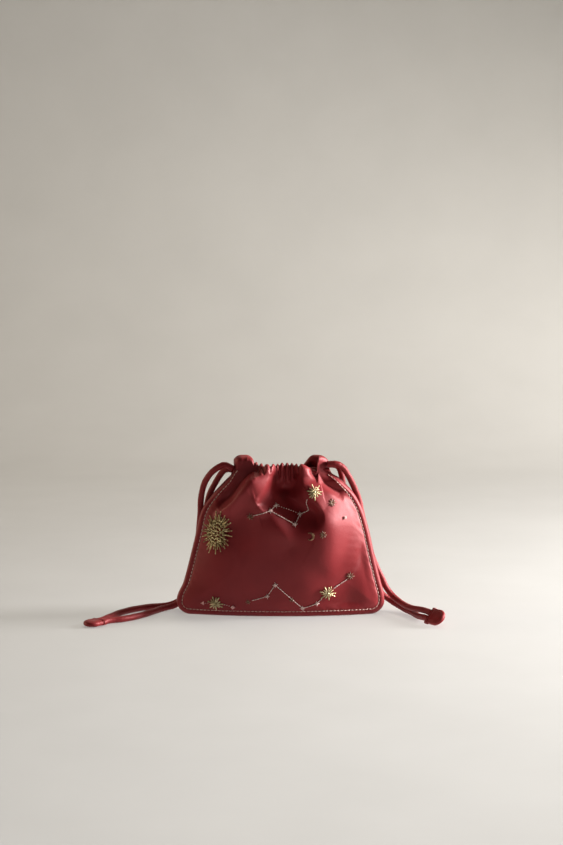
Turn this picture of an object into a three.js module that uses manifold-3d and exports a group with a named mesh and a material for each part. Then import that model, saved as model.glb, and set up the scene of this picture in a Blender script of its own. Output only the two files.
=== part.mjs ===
// Drawstring mini bag in gathered satin, with raised gold embroidery.
// It stands on its base, and its two drawstrings lie beside it.
// Millimetres, +Z up. The front faces -Y, and the origin is under the middle of the bag.

import * as THREE from "three";
import { mergeVertices } from "three/addons/utils/BufferGeometryUtils.js";
import loadManifold from "manifold-3d";

const wasm = await loadManifold();
wasm.setup();
const { degToRad, lerp, smoothstep } = THREE.MathUtils;

// Panels
const WALL = 2;
const SEAM_GAP = 0.3;
const FLANGE = 5.5;
const CORNER_RADIUS = 13;
const BASE_THICKNESS = 2;
const LENS_POWER = 2.2;
const PUFF = { rise: 5, reach: 10, fadeFrom: 108, fadeTo: 134 };

// Casing at the top, closed by a seam below, whose tunnel ends stand up as two shoulders
const CASING = {
  depth: 9.65, seam: 128.5, blendFrom: 122, blendTo: 136, top: 149, endsFrom: 46, endsTo: 50,
};
const MOUTH = { half: 32, blendFrom: 118, blendTo: 138 };
const SHOULDER = { x: 37, spread: 11, rise: 6.3, blendFrom: 112, blendTo: 136 };
const BACK_DROP = { fall: 4, fullTo: 18, noneFrom: 36 };
const PLEAT = { count: 18, rise: 1.5, blendFrom: 106, blendTo: 132, fullTo: 26, noneFrom: 36 };
const CELLS_PER_PLEAT = 3;
const CLEAR_ABOVE = 15;

// Drawstrings
const CORD_RADIUS = 3;
const CORD_GAP = 0.55;
const CORD_SIDES = 8;
const CORD_STEP = 13;
const LANE = {
  z: 140.8, offset: 3.5, follow: 0.3, levelFrom: 43, riseFrom: 36, exitX: 48.5, turnX: 28, turnReach: 10,
};
const CASING_STEPS = 20;
const CLEARED_POINTS = 5;

// Sewn tab on each pair of cord ends
const TAB = { length: 20, width: 17, thickness: 6, bevel: 0.9 };
const CUFF = { length: 4.2, proud: 0.3 };

// Outline of the bag by height: half width, sideways lean, seam plane and the swell of each panel
const OUTLINE = [
  { z: 0, half: 101, centre: 0, seam: -1.5, front: 20, back: 14 },
  { z: 15, half: 100.6, centre: 0.3, seam: -1.5, front: 20, back: 23 },
  { z: 32, half: 96, centre: 1.9, seam: -1.5, front: 20, back: 24 },
  { z: 57, half: 89.6, centre: 2.1, seam: -1.5, front: 20, back: 24 },
  { z: 80, half: 84.3, centre: 2.4, seam: -1.3, front: 19, back: 22 },
  { z: 100, half: 79, centre: 1.9, seam: -1, front: 16.5, back: 18 },
  { z: 118, half: 68.5, centre: 3.2, seam: -0.5, front: 12, back: 12 },
  { z: 126, half: 61.5, centre: 3.4, seam: -0.3, front: 9, back: 9 },
  { z: 133, half: 54.5, centre: 3.2, seam: 0, front: 6.5, back: 6.5 },
  { z: 139, half: 47, centre: 2, seam: 0, front: 4.5, back: 4.5 },
  { z: 149, half: 45.4, centre: 0, seam: 0, front: 4, back: 4 },
];

// Folds of the front: a ridge or a valley from (x0, z0) down to (x1, z1), its width and its rise
const FRONT_FOLDS = [
  { name: "left valley", x0: -29, z0: 137, x1: -64, z1: 102, width: 7, rise: -7 },
  { name: "left ridge", x0: -21, z0: 137, x1: -50, z1: 102, width: 6, rise: 5 },
  { name: "left billow", x0: -12, z0: 143, x1: -23, z1: 114, width: 6, rise: 6 },
  { name: "centre hollow", x0: 0, z0: 140, x1: 3, z1: 109, width: 12, rise: -9 },
  { name: "right billow", x0: 22, z0: 142, x1: 36, z1: 114, width: 7, rise: 6 },
  { name: "right dent", x0: 20, z0: 106, x1: 23, z1: 100, width: 12, rise: -6 },
  { name: "right ridge", x0: 30, z0: 138, x1: 62, z1: 109, width: 6, rise: 5 },
  { name: "right valley", x0: 40, z0: 139, x1: 65, z1: 114, width: 6, rise: -6 },
  { name: "middle pucker", x0: 5, z0: 96, x1: 9, z1: 70, width: 7, rise: 3 },
  { name: "right pucker", x0: 69, z0: 70, x1: 70, z1: 38, width: 7, rise: -3 },
];

// Folds of the back: plain ridges and valleys by turns, spreading from the casing
const BACK_FOLD = { count: 7, pitch: 9.5, spread: 1.9, z0: 137, z1: 92, width: 6.5, rise: 4 };
const BACK_FOLDS = Array.from({ length: BACK_FOLD.count }, (unused, k) => {
  const x = (k - (BACK_FOLD.count - 1) / 2) * BACK_FOLD.pitch;
  const rise = k % 2 === 0 ? BACK_FOLD.rise : -BACK_FOLD.rise;
  const { spread, z0, z1, width } = BACK_FOLD;
  return { x0: x, z0, x1: x * spread, z1, width, rise };
});
const FOLD_FADE = { edge: 9, topFrom: 124, topTo: 135 };

// Heights of the rings of each loft: coarse below, one cell for each third of a pleat above
const OUTER_ROWS_COARSE = [0, 1.5, 5.5, 13, 26, 42, 58, 74, 88, 96, 104];
const OUTER_ROWS_FINE = [111, 118, 125, 134, 142, CASING.top];
const INNER_ROWS = [5.5, 13, 32, 58, 74, 88, 96, 104, 111, 118, 125, 134, CASING.top];
const FINE_CELLS = PLEAT.count * CELLS_PER_PLEAT;
const COARSE_CELLS = FINE_CELLS / 2;

// Free strands, from the casing to their tab, as points on the middle of the cord
const STRANDS = {
  cord_left_front: [
    [-49.2, -5, 144.9], [-50.8, -5, 145.8], [-54, -5, 146.6], [-58.6, -4.5, 144.9], [-65.6, -3, 139.8],
    [-72, 0, 131.2], [-75.6, 2.5, 121.2], [-77.3, 4.5, 110.5], [-77.8, 5.2, 98], [-79, 5.6, 84],
    [-81, 6.3, 66], [-84, 7.6, 46], [-88.5, 8.8, 28], [-94.5, 9.2, 14.5], [-102.4, 9, 6.4],
    [-109.5, 8, 4.2], [-116.5, 3.6, 3.3], [-123.9, -8.2, 3.1], [-133.5, -23.8, 3.1], [-145.8, -38, 3.1],
    [-152.5, -43.2, 3.1], [-158.5, -45.8, 3.1], [-163, -48.6, 3.1], [-165.9, -51.4, 3.1],
    [-167.9, -54, 3.1],
  ],
  cord_left_back: [
    [-49.2, 5, 140.8], [-50.9, 5, 141], [-54.2, 6, 139.9], [-57.4, 7.2, 136.6], [-62.2, 8, 129],
    [-66.8, 8.6, 120.4], [-70, 9.8, 112], [-72.5, 12, 100], [-74.5, 13.5, 85], [-77, 14.8, 66],
    [-80, 16.2, 47], [-84.5, 17.2, 29], [-91.5, 17.4, 15], [-102.8, 17, 6.9], [-110, 17, 4.2],
    [-118, 17.2, 3.2], [-125.4, 15, 3.1], [-137.6, 7.6, 3.1], [-148.5, -3.6, 3.1], [-157.2, -17.4, 3.1],
    [-164.3, -33, 3.1], [-168.6, -43.3, 3.1], [-170.4, -46.9, 3.1], [-172.5, -50.1, 3.1],
  ],
  cord_right_front: [
    [49.1, -5, 147.7], [51, -5, 147.9], [54.8, -4.8, 147.4], [60.4, -3, 143.8], [65.8, -0.5, 135.8],
    [71.4, 3, 124.2], [75.8, 5.8, 112.8], [78.7, 6.6, 100], [81.6, 6.4, 85], [85.5, 6.6, 69],
    [90, 7.5, 54], [94.5, 8.5, 43], [99.1, 9, 33.8], [103.6, 9, 23.9], [110.3, 6, 15.5],
    [118.9, -6, 10.4], [126.9, -23, 9.6], [135.2, -37.5, 11.1], [140.9, -46.6, 11.2], [143, -50.3, 11.1],
  ],
  cord_right_back: [
    [49.1, 5, 145.3], [51, 5.1, 145.3], [54.4, 6.8, 144.5], [57.6, 8.5, 141.2], [59.6, 9.4, 134.8],
    [60.7, 9.8, 127.7], [62, 10.8, 119], [64.5, 12.8, 105], [68.5, 14.8, 89], [73.5, 16.3, 71],
    [79.5, 17, 53], [86, 17, 37], [93, 16.2, 24.5], [101, 15, 15.1], [106.9, 14.2, 10.6],
    [113.6, 9.5, 6.9], [120.8, -0.5, 4.3], [127.7, -14, 3.4], [132.8, -33, 3.8], [137.3, -49, 6],
    [139.6, -52.9, 6.2],
  ],
};

// Where each tab lies: the middle of its mouth, its heading on the floor and its roll about its length
const TABS = {
  cord_end_left: { mouth: [-170.5, -52.5, 3.4], heading: -130, roll: 0 },
  cord_end_right: { mouth: [141.6, -52, 8.6], heading: -53, roll: 47 },
};

// Raised motifs of the front, by the place of their middle
const MOTIFS = {
  sun_motif: {
    x: -59.4, z: 83.5, radiusX: 14, radiusZ: 20.5, tilt: -10, rays: 24, core: 0.56, dome: 2.6, gap: 1.8,
  },
  star_upper: {
    x: 32.7, z: 119.5, radiusX: 8, radiusZ: 8, tilt: 0, rays: 11, core: 0.3, dome: 1.6, gap: 1.1,
  },
  star_right: {
    x: 45.3, z: 25.5, radiusX: 8, radiusZ: 8, tilt: 8, rays: 11, core: 0.3, dome: 1.6, gap: 0.5,
  },
  star_left: {
    x: -62.1, z: 15.5, radiusX: 8, radiusZ: 7.5, tilt: 14, rays: 11, core: 0.3, dome: 1.6, gap: 0.5,
  },
};
const RAY = { valley: 0.6, thickness: 0.9 };
const MOON = {
  x: 29.1, z: 80.2, radius: 4, width: 2.4, tip: 0.6, height: 1, from: -125, to: 125, steps: 12, gap: 0.5,
};

// Value of one column of a table at height z, on a smooth curve that doesn't overshoot its rows
function along(rows, column, z) {
  const last = rows.length - 1;
  if (z <= rows[0].z) return rows[0][column];
  if (z >= rows[last].z) return rows[last][column];
  const secant = (k) => (rows[k + 1][column] - rows[k][column]) / (rows[k + 1].z - rows[k].z);
  const slope = (k) => {
    if (k === 0 || k === last) return 0;
    const before = secant(k - 1);
    const after = secant(k);
    return before * after <= 0 ? 0 : (2 * before * after) / (before + after);
  };
  const i = rows.findIndex((row) => row.z > z) - 1;
  const span = rows[i + 1].z - rows[i].z;
  const t = (z - rows[i].z) / span;
  const start = (1 + 2 * t) * (1 - t) ** 2 * rows[i][column] + t * (1 - t) ** 2 * span * slope(i);
  const end = t * t * (3 - 2 * t) * rows[i + 1][column] + t * t * (t - 1) * span * slope(i + 1);
  return start + end;
}

// Shape of the outline, seen from the front
function straightHalf(z) {
  return along(OUTLINE, "half", z);
}

function halfWidth(z) {
  const drop = Math.max(0, CORNER_RADIUS - z);
  return straightHalf(z) - CORNER_RADIUS + Math.sqrt(CORNER_RADIUS ** 2 - drop ** 2);
}

function offCentre(x, z) {
  return Math.abs(x - along(OUTLINE, "centre", z));
}

function sideDistance(x, z) {
  return straightHalf(z) - offCentre(x, z);
}

function edgeDistance(x, z) {
  const fromSide = sideDistance(x, z);
  const cornerX = CORNER_RADIUS - fromSide;
  const cornerZ = CORNER_RADIUS - z;
  if (cornerX > 0 && cornerZ > 0) return CORNER_RADIUS - Math.hypot(cornerX, cornerZ);
  return Math.min(fromSide, z);
}

function swellHalf(z) {
  return lerp(straightHalf(z) - FLANGE, MOUTH.half, smoothstep(z, MOUTH.blendFrom, MOUTH.blendTo));
}

// Raised shoulders of both panels, and the sunk middle of the back
function lift(x, z) {
  const bell = Math.exp(-(((Math.abs(x) - SHOULDER.x) / SHOULDER.spread) ** 2));
  return SHOULDER.rise * bell * smoothstep(z, SHOULDER.blendFrom, SHOULDER.blendTo);
}

function backDrop(x, z) {
  const middle = 1 - smoothstep(Math.abs(x), BACK_DROP.fullTo, BACK_DROP.noneFrom);
  return BACK_DROP.fall * middle * smoothstep(z, SHOULDER.blendFrom, SHOULDER.blendTo);
}

// Relief of a panel: folds, swell inside the stitched edge, pleats and thickness
function segmentDistance(x, z, fold) {
  const dx = fold.x1 - fold.x0;
  const dz = fold.z1 - fold.z0;
  const t = ((x - fold.x0) * dx + (z - fold.z0) * dz) / (dx * dx + dz * dz);
  const near = THREE.MathUtils.clamp(t, 0, 1);
  return Math.hypot(x - fold.x0 - near * dx, z - fold.z0 - near * dz);
}

function foldRise(folds, x, z, distance) {
  const fade = smoothstep(distance, FLANGE, FLANGE + FOLD_FADE.edge) *
    (1 - smoothstep(z, FOLD_FADE.topFrom, FOLD_FADE.topTo));
  return folds.reduce((sum, fold) => {
    return sum + fade * fold.rise * Math.exp(-((segmentDistance(x, z, fold) / fold.width) ** 2));
  }, 0);
}

function bow(x, z, side) {
  const reach = Math.min(1, offCentre(x, z) / swellHalf(z));
  return along(OUTLINE, side, z) * (1 - reach ** LENS_POWER);
}

function puff(z, distance) {
  const inside = Math.max(0, distance - FLANGE);
  return PUFF.rise * (1 - Math.exp(-inside / PUFF.reach)) * (1 - smoothstep(z, PUFF.fadeFrom, PUFF.fadeTo));
}

function swell(x, z, side) {
  const distance = side === "front" ? edgeDistance(x, z) : sideDistance(x, z);
  const folds = side === "front" ? FRONT_FOLDS : BACK_FOLDS;
  return Math.max(0, bow(x, z, side) + puff(z, distance) + foldRise(folds, x, z, distance));
}

function thickness(x, z) {
  const atCasing = smoothstep(z, CASING.blendFrom, CASING.blendTo);
  const clearOfEnds = 1 - smoothstep(offCentre(x, z), CASING.endsFrom, CASING.endsTo);
  return lerp(WALL, CASING.depth, atCasing * clearOfEnds);
}

function pleat(x, z) {
  const across = (x - along(OUTLINE, "centre", z)) / halfWidth(z);
  const wave = 0.5 + 0.5 * Math.cos(Math.PI * PLEAT.count * (across + 1));
  const middle = 1 - smoothstep(offCentre(x, z), PLEAT.fullTo, PLEAT.noneFrom);
  return PLEAT.rise * wave * middle * smoothstep(z, PLEAT.blendFrom, PLEAT.blendTo);
}

// Points on the inner and outer faces of a panel
function innerPoint(x, z, side) {
  const sign = side === "front" ? -1 : 1;
  const y = along(OUTLINE, "seam", z) + sign * (SEAM_GAP / 2 + swell(x, z, side));
  const drop = side === "front" ? 0 : backDrop(x, z);
  return new THREE.Vector3(x, y, z + lift(x, z) - drop);
}

function outerPoint(x, z, side) {
  const sign = side === "front" ? -1 : 1;
  const point = innerPoint(x, z, side);
  point.y += sign * (thickness(x, z) + pleat(x, z));
  return point;
}

// Row of points across a panel, from its left edge to its right edge
function ringRow(z, half, cells, pointAt) {
  const centre = along(OUTLINE, "centre", z);
  return Array.from({ length: cells + 1 }, (unused, k) => {
    return pointAt(centre + half * ((2 * k) / cells - 1), z);
  });
}

function ring(z, half, cells, pointAt) {
  return {
    front: ringRow(z, half, cells, (x, height) => pointAt(x, height, "front")),
    back: ringRow(z, half, cells, (x, height) => pointAt(x, height, "back")),
  };
}

// Closed solid through rings of front and back points; a ring may have twice the cells of the one below
function loft(rings) {
  const positions = [];
  const triangle = (a, b, c) => positions.push(...a.toArray(), ...b.toArray(), ...c.toArray());
  const quad = (a, b, c, d) => {
    triangle(a, b, c);
    triangle(a, c, d);
  };
  const strip = (low, high, face) => {
    const ratio = (high.length - 1) / (low.length - 1);
    for (let k = 0; k + 1 < low.length; k += 1) {
      const h = k * ratio;
      if (ratio === 1) {
        face(low[k], low[k + 1], high[k + 1]);
        face(low[k], high[k + 1], high[k]);
      } else {
        face(low[k], low[k + 1], high[h + 1]);
        face(low[k], high[h + 1], high[h]);
        face(low[k + 1], high[h + 2], high[h + 1]);
      }
    }
  };
  for (let r = 0; r + 1 < rings.length; r += 1) {
    const low = rings[r];
    const high = rings[r + 1];
    strip(low.front, high.front, triangle);
    strip(low.back, high.back, (a, b, c) => triangle(a, c, b));
    quad(low.front.at(-1), low.back.at(-1), high.back.at(-1), high.front.at(-1));
    quad(low.back[0], low.front[0], high.front[0], high.back[0]);
  }
  const bottom = rings[0];
  for (let k = 0; k + 1 < bottom.front.length; k += 1) {
    quad(bottom.front[k], bottom.back[k], bottom.back[k + 1], bottom.front[k + 1]);
  }
  const top = rings.at(-1);
  for (let k = 0; k + 1 < top.front.length; k += 1) {
    quad(top.front[k], top.front[k + 1], top.back[k + 1], top.back[k]);
  }
  const geometry = new THREE.BufferGeometry();
  geometry.setAttribute("position", new THREE.Float32BufferAttribute(positions, 3));
  return geometry;
}

// Boolean solids
function toSolid(geometry) {
  const bare = geometry.clone();
  bare.deleteAttribute("normal");
  bare.deleteAttribute("uv");
  const merged = mergeVertices(bare);
  const mesh = new wasm.Mesh({
    numProp: 3,
    vertProperties: new Float32Array(merged.attributes.position.array),
    triVerts: new Uint32Array(merged.index.array),
  });
  return new wasm.Manifold(mesh);
}

function toGeometry(solid) {
  const mesh = solid.getMesh();
  const geometry = new THREE.BufferGeometry();
  geometry.setAttribute("position", new THREE.BufferAttribute(mesh.vertProperties, 3));
  geometry.setIndex(new THREE.BufferAttribute(mesh.triVerts, 1));
  geometry.computeVertexNormals();
  return geometry;
}

// Round bar along a curve
function bar(curve, radius, steps) {
  const section = new THREE.Shape();
  for (let k = 0; k < CORD_SIDES; k += 1) {
    const angle = (2 * Math.PI * k) / CORD_SIDES;
    const move = k === 0 ? "moveTo" : "lineTo";
    section[move](radius * Math.cos(angle), radius * Math.sin(angle));
  }
  return new THREE.ExtrudeGeometry(section, { steps, bevelEnabled: false, extrudePath: curve });
}

function curveThrough(points) {
  return new THREE.CatmullRomCurve3(points);
}

function strandCurve(name) {
  return curveThrough(STRANDS[name].map((point) => new THREE.Vector3(...point)));
}

// Stretch of a drawstring inside the casing: along the front, round the far side and back along the back
function casingCurve({ side, lane, frontRise, backRise }) {
  const laneLift = (x) => LANE.follow * lift(Math.min(Math.abs(x), LANE.levelFrom), CASING.top);
  const laneHeight = (x) => LANE.z + lane * LANE.offset + laneLift(x);
  const channel = (x) => SEAM_GAP / 2 + bow(x, LANE.z, "front") + CASING.depth / 2;
  const crossing = Array.from({ length: 8 }, (unused, k) => side * lerp(LANE.exitX, -LANE.turnX, k / 7));
  const atExit = (x) => (x * side > 0 ? smoothstep(Math.abs(x), LANE.riseFrom, LANE.exitX) : 0);
  const front = crossing.map((x) => {
    return new THREE.Vector3(x, -channel(x), laneHeight(x) + frontRise * atExit(x));
  });
  const turn = [-60, -30, 0, 30, 60].map((degrees) => {
    const angle = degToRad(degrees);
    const x = -side * (LANE.turnX + LANE.turnReach * Math.cos(angle));
    const drop = (backDrop(x, CASING.top) * (1 + Math.sin(angle))) / 2;
    return new THREE.Vector3(x, channel(LANE.turnX) * Math.sin(angle), laneHeight(x) - drop);
  });
  const back = crossing.toReversed().map((x) => {
    return new THREE.Vector3(x, channel(x), laneHeight(x) - backDrop(x, CASING.top) + backRise * atExit(x));
  });
  return curveThrough([...front, ...turn, ...back]);
}

const CASING_CURVES = {
  cord_left_casing: casingCurve({ side: -1, lane: -1, frontRise: 5.5, backRise: 1.5 }),
  cord_right_casing: casingCurve({ side: 1, lane: 1, frontRise: 1.9, backRise: -0.6 }),
};

// Room for the drawstrings in the casing and where they leave it
function cordRoom() {
  const radius = (CORD_RADIUS + CORD_GAP) / Math.cos(Math.PI / CORD_SIDES);
  const inCasing = Object.values(CASING_CURVES).map((curve) => bar(curve, radius, CASING_STEPS));
  const outside = Object.values(STRANDS).map((points) => {
    const start = points.slice(0, CLEARED_POINTS).map((point) => new THREE.Vector3(...point));
    const inward = start[0].clone().sub(new THREE.Vector3(Math.sign(start[0].x) * 2 * CORD_GAP, 0, 0));
    return bar(curveThrough([inward, ...start]), radius, CLEARED_POINTS);
  });
  return [...inCasing, ...outside].map(toSolid);
}

// Half of the bag on one side of the seam, as a slab over the seam's profile in Y and Z
function seamHalf(side) {
  const far = OUTLINE[0].half;
  const top = CASING.top + 2 * CLEAR_ABOVE;
  const sign = side === "front" ? -1 : 1;
  const low = side === "front" ? BASE_THICKNESS + SEAM_GAP : BASE_THICKNESS;
  const heights = [low, ...OUTLINE.map((row) => row.z).filter((z) => z > low), top];
  const seamLine = heights.map((z) => {
    return new THREE.Vector2(along(OUTLINE, "seam", z) + (sign * SEAM_GAP) / 2, z);
  });
  const rest = side === "front"
    ? [new THREE.Vector2(-far, top), new THREE.Vector2(-far, low)]
    : [new THREE.Vector2(far, top), new THREE.Vector2(far, -far), new THREE.Vector2(-far, -far),
      new THREE.Vector2(-far, low)];
  const geometry = new THREE.ExtrudeGeometry(new THREE.Shape([...seamLine, ...rest]), {
    depth: 4 * far, bevelEnabled: false,
  });
  const axes = new THREE.Matrix4().makeBasis(
    new THREE.Vector3(0, 1, 0), new THREE.Vector3(0, 0, 1), new THREE.Vector3(1, 0, 0));
  return toSolid(geometry.translate(0, 0, -2 * far).applyMatrix4(axes));
}

// Space above or below the seam that closes the casing
function casingHalf(above) {
  const far = OUTLINE[0].half;
  const sign = above ? 1 : -1;
  const middle = CASING.seam + (sign * (CASING.top + SEAM_GAP)) / 2;
  return toSolid(new THREE.BoxGeometry(4 * far, 4 * far, CASING.top).translate(0, 0, middle));
}

// Both panels and their casings: a hollow shell, cleared for the drawstrings and parted along the seams
function panelGeometries() {
  const outerRings = [
    ...OUTER_ROWS_COARSE.map((z) => ring(z, halfWidth(z), COARSE_CELLS, outerPoint)),
    ...OUTER_ROWS_FINE.map((z) => ring(z, halfWidth(z), FINE_CELLS, outerPoint)),
  ];
  const innerHalf = (z) => Math.min(swellHalf(z), halfWidth(z) - FLANGE);
  const floor = BASE_THICKNESS + SEAM_GAP / 2;
  const innerRings = [floor, ...INNER_ROWS].map((z) => ring(z, innerHalf(z), COARSE_CELLS, innerPoint));
  const above = (point) => point.clone().setZ(CASING.top + CLEAR_ABOVE);
  const mouth = innerRings.at(-1);
  innerRings.push({ front: mouth.front.map(above), back: mouth.back.map(above) });
  let shell = toSolid(loft(outerRings)).subtract(toSolid(loft(innerRings)));
  for (const room of cordRoom()) shell = shell.subtract(room);
  const geometries = {};
  for (const side of ["front", "back"]) {
    const half = shell.intersect(seamHalf(side));
    geometries[`${side}_panel`] = toGeometry(half.intersect(casingHalf(false)));
    geometries[`${side}_casing`] = toGeometry(half.intersect(casingHalf(true)));
  }
  return geometries;
}

// Flat cloth tab with a round end and a cuff at its mouth, along +X from its mouth at the origin
function tabSlab(outline, thick) {
  const geometry = new THREE.ExtrudeGeometry(outline, {
    depth: thick - 2 * TAB.bevel,
    bevelThickness: TAB.bevel,
    bevelSize: TAB.bevel,
    bevelOffset: -TAB.bevel,
    bevelSegments: 1,
    curveSegments: 8,
  });
  return toSolid(geometry.translate(0, 0, TAB.bevel - thick / 2));
}

function tabGeometry() {
  const half = TAB.width / 2;
  const body = new THREE.Shape();
  body.moveTo(0, -half);
  body.lineTo(TAB.length - half, -half);
  body.absarc(TAB.length - half, 0, half, -Math.PI / 2, Math.PI / 2, false);
  body.lineTo(0, half);
  body.closePath();
  const wide = half + CUFF.proud;
  const cuff = new THREE.Shape();
  cuff.moveTo(0, -wide);
  cuff.lineTo(CUFF.length, -wide);
  cuff.lineTo(CUFF.length, wide);
  cuff.lineTo(0, wide);
  cuff.closePath();
  return toGeometry(tabSlab(body, TAB.thickness).add(tabSlab(cuff, TAB.thickness + 2 * CUFF.proud)));
}

// Raised motif with rays, lying just off the front panel
function reliefPoint(x, z, offset) {
  const point = outerPoint(x, z, "front");
  point.y -= offset;
  return point;
}

function rayedGeometry(motif) {
  const spokes = 2 * motif.rays;
  const turn = degToRad(motif.tilt);
  const at = (share, spoke, height) => {
    const angle = (2 * Math.PI * spoke) / spokes;
    const dx = motif.radiusX * share * Math.cos(angle);
    const dz = motif.radiusZ * share * Math.sin(angle);
    const x = motif.x + dx * Math.cos(turn) - dz * Math.sin(turn);
    const z = motif.z + dx * Math.sin(turn) + dz * Math.cos(turn);
    return reliefPoint(x, z, motif.gap + height);
  };
  const rim = (spoke) => (spoke % 2 === 0 ? 1 : motif.core + RAY.valley * motif.core * (1 - motif.core));
  const rings = [
    { share: () => motif.core, height: 0 },
    { share: rim, height: 0 },
    { share: rim, height: RAY.thickness },
    { share: () => motif.core, height: motif.dome },
  ];
  const positions = [];
  const triangle = (a, b, c) => positions.push(...a.toArray(), ...b.toArray(), ...c.toArray());
  for (let s = 0; s < spokes; s += 1) {
    const next = (s + 1) % spokes;
    const column = rings.map((one) => at(one.share(s), s, one.height));
    const beside = rings.map((one) => at(one.share(next), next, one.height));
    triangle(at(0, 0, 0), beside[0], column[0]);
    for (let r = 0; r + 1 < rings.length; r += 1) {
      triangle(column[r], beside[r], beside[r + 1]);
      triangle(column[r], beside[r + 1], column[r + 1]);
    }
    triangle(at(0, 0, motif.dome), column.at(-1), beside.at(-1));
  }
  const geometry = new THREE.BufferGeometry();
  geometry.setAttribute("position", new THREE.Float32BufferAttribute(positions, 3));
  return geometry;
}

// Crescent with thin tips, opening to the left
function moonGeometry() {
  const stations = Array.from({ length: MOON.steps + 1 }, (unused, k) => {
    const t = k / MOON.steps;
    const angle = degToRad(lerp(MOON.from, MOON.to, t));
    const width = lerp(MOON.tip, MOON.width, Math.sin(Math.PI * t));
    const at = (radius, height) => {
      const x = MOON.x + radius * Math.cos(angle);
      const z = MOON.z + radius * Math.sin(angle);
      return reliefPoint(x, z, MOON.gap + height);
    };
    const outer = MOON.radius;
    return [at(outer - width, 0), at(outer, 0), at(outer, MOON.height), at(outer - width, MOON.height)];
  });
  const positions = [];
  const quad = (a, b, c, d) => {
    positions.push(...a.toArray(), ...b.toArray(), ...c.toArray());
    positions.push(...a.toArray(), ...c.toArray(), ...d.toArray());
  };
  for (let k = 0; k < MOON.steps; k += 1) {
    for (let c = 0; c < 4; c += 1) {
      const d = (c + 1) % 4;
      quad(stations[k][c], stations[k + 1][c], stations[k + 1][d], stations[k][d]);
    }
  }
  quad(...stations[0]);
  quad(...stations.at(-1).toReversed());
  const geometry = new THREE.BufferGeometry();
  geometry.setAttribute("position", new THREE.Float32BufferAttribute(positions, 3));
  return geometry;
}

// Materials
const SATIN = new THREE.MeshStandardMaterial({ color: 0x7a2028, roughness: 0.45, metalness: 0 });
const CORD_SATIN = new THREE.MeshStandardMaterial({ color: 0x6b1c23, roughness: 0.5, metalness: 0 });
const GOLD_THREAD = new THREE.MeshStandardMaterial({ color: 0xb79a5e, roughness: 0.4, metalness: 0.8 });

function piece(name, geometry, material) {
  const mesh = new THREE.Mesh(geometry, material);
  mesh.name = name;
  return mesh;
}

// Assembly
const bag = new THREE.Group();
for (const [name, geometry] of Object.entries(panelGeometries())) bag.add(piece(name, geometry, SATIN));
for (const [name, curve] of Object.entries(CASING_CURVES)) {
  bag.add(piece(name, bar(curve, CORD_RADIUS, CASING_STEPS), CORD_SATIN));
}
for (const name of Object.keys(STRANDS)) {
  const curve = strandCurve(name);
  const steps = Math.round(curve.getLength() / CORD_STEP);
  bag.add(piece(name, bar(curve, CORD_RADIUS, steps), CORD_SATIN));
}
for (const [name, tab] of Object.entries(TABS)) {
  const mesh = piece(name, tabGeometry(), CORD_SATIN);
  mesh.rotation.set(degToRad(tab.roll), 0, degToRad(tab.heading), "ZYX");
  mesh.position.set(...tab.mouth);
  bag.add(mesh);
}
for (const [name, motif] of Object.entries(MOTIFS)) bag.add(piece(name, rayedGeometry(motif), GOLD_THREAD));
bag.add(piece("moon_motif", moonGeometry(), GOLD_THREAD));

export default bag;
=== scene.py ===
# Looks of a drawstring mini bag: gathered satin, rouleau cords, sewn tabs and gold embroidery.
# Metres, +Z up. The front faces -Y, and the bag stands on z = 0.

import math

import bpy
import numpy as np
from mathutils import Matrix, Vector


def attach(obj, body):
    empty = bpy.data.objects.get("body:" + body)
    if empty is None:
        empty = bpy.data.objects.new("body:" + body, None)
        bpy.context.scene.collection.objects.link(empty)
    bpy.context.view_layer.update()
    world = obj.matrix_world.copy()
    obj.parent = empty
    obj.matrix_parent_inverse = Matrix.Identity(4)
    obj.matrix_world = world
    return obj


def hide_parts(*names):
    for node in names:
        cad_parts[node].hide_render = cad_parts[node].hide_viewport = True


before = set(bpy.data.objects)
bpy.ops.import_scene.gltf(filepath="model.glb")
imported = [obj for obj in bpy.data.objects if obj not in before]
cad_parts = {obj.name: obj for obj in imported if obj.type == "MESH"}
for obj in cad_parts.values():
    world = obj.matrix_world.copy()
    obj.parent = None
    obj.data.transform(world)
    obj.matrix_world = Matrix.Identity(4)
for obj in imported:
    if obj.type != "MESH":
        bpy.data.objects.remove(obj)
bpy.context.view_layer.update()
BODY = "root"
TENTHS_PER_M = 10000

# Camera
IMAGE_WIDTH, IMAGE_HEIGHT = 563, 845
LENS_MM, SENSOR_MM = 85.0, 36.0
CAMERA_PLACE = np.array([0.00115, -1.91429, 0.41266])
CAMERA_PITCH = 0.1172063
FOCAL_PIXELS = LENS_MM / SENSOR_MM * IMAGE_HEIGHT
PIXEL_ROUNDS, PIXEL_STEP, PIXEL_START = 25, 0.8, (0.0, 0.08)

# Cords
CORD_RADIUS = 0.003
SQUEEZED_RADIUS = 0.0022
CORD_INTO_CASING = 0.004
CORD_INTO_TAB = 0.003
CORD_SIDES, CORD_STEP, CASING_STEP = 20, 0.0008, 0.0015
CORD_BENDS, CORD_CREASE, CORD_CREASE_PITCH, CORD_CREASE_DRIFT = (8, 60), 0.00010, 0.0036, (1.4, 190)
CORD_SOFTNESS, CORD_SOFT_PITCH = 0.00007, 0.021
CORD_SEAM, CORD_SEAM_ANGLE, CORD_SEAM_WIDTH = 0.00022, 2.2, 0.20
LANE_START, LANE_END, LANE_TURN, LANE_POINTS = 0.0475, -0.030, 0.0385, 12
LANE_Z, LANE_OFFSET, LANE_DEPTH = 0.1392, 0.0026, 0.0036
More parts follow.
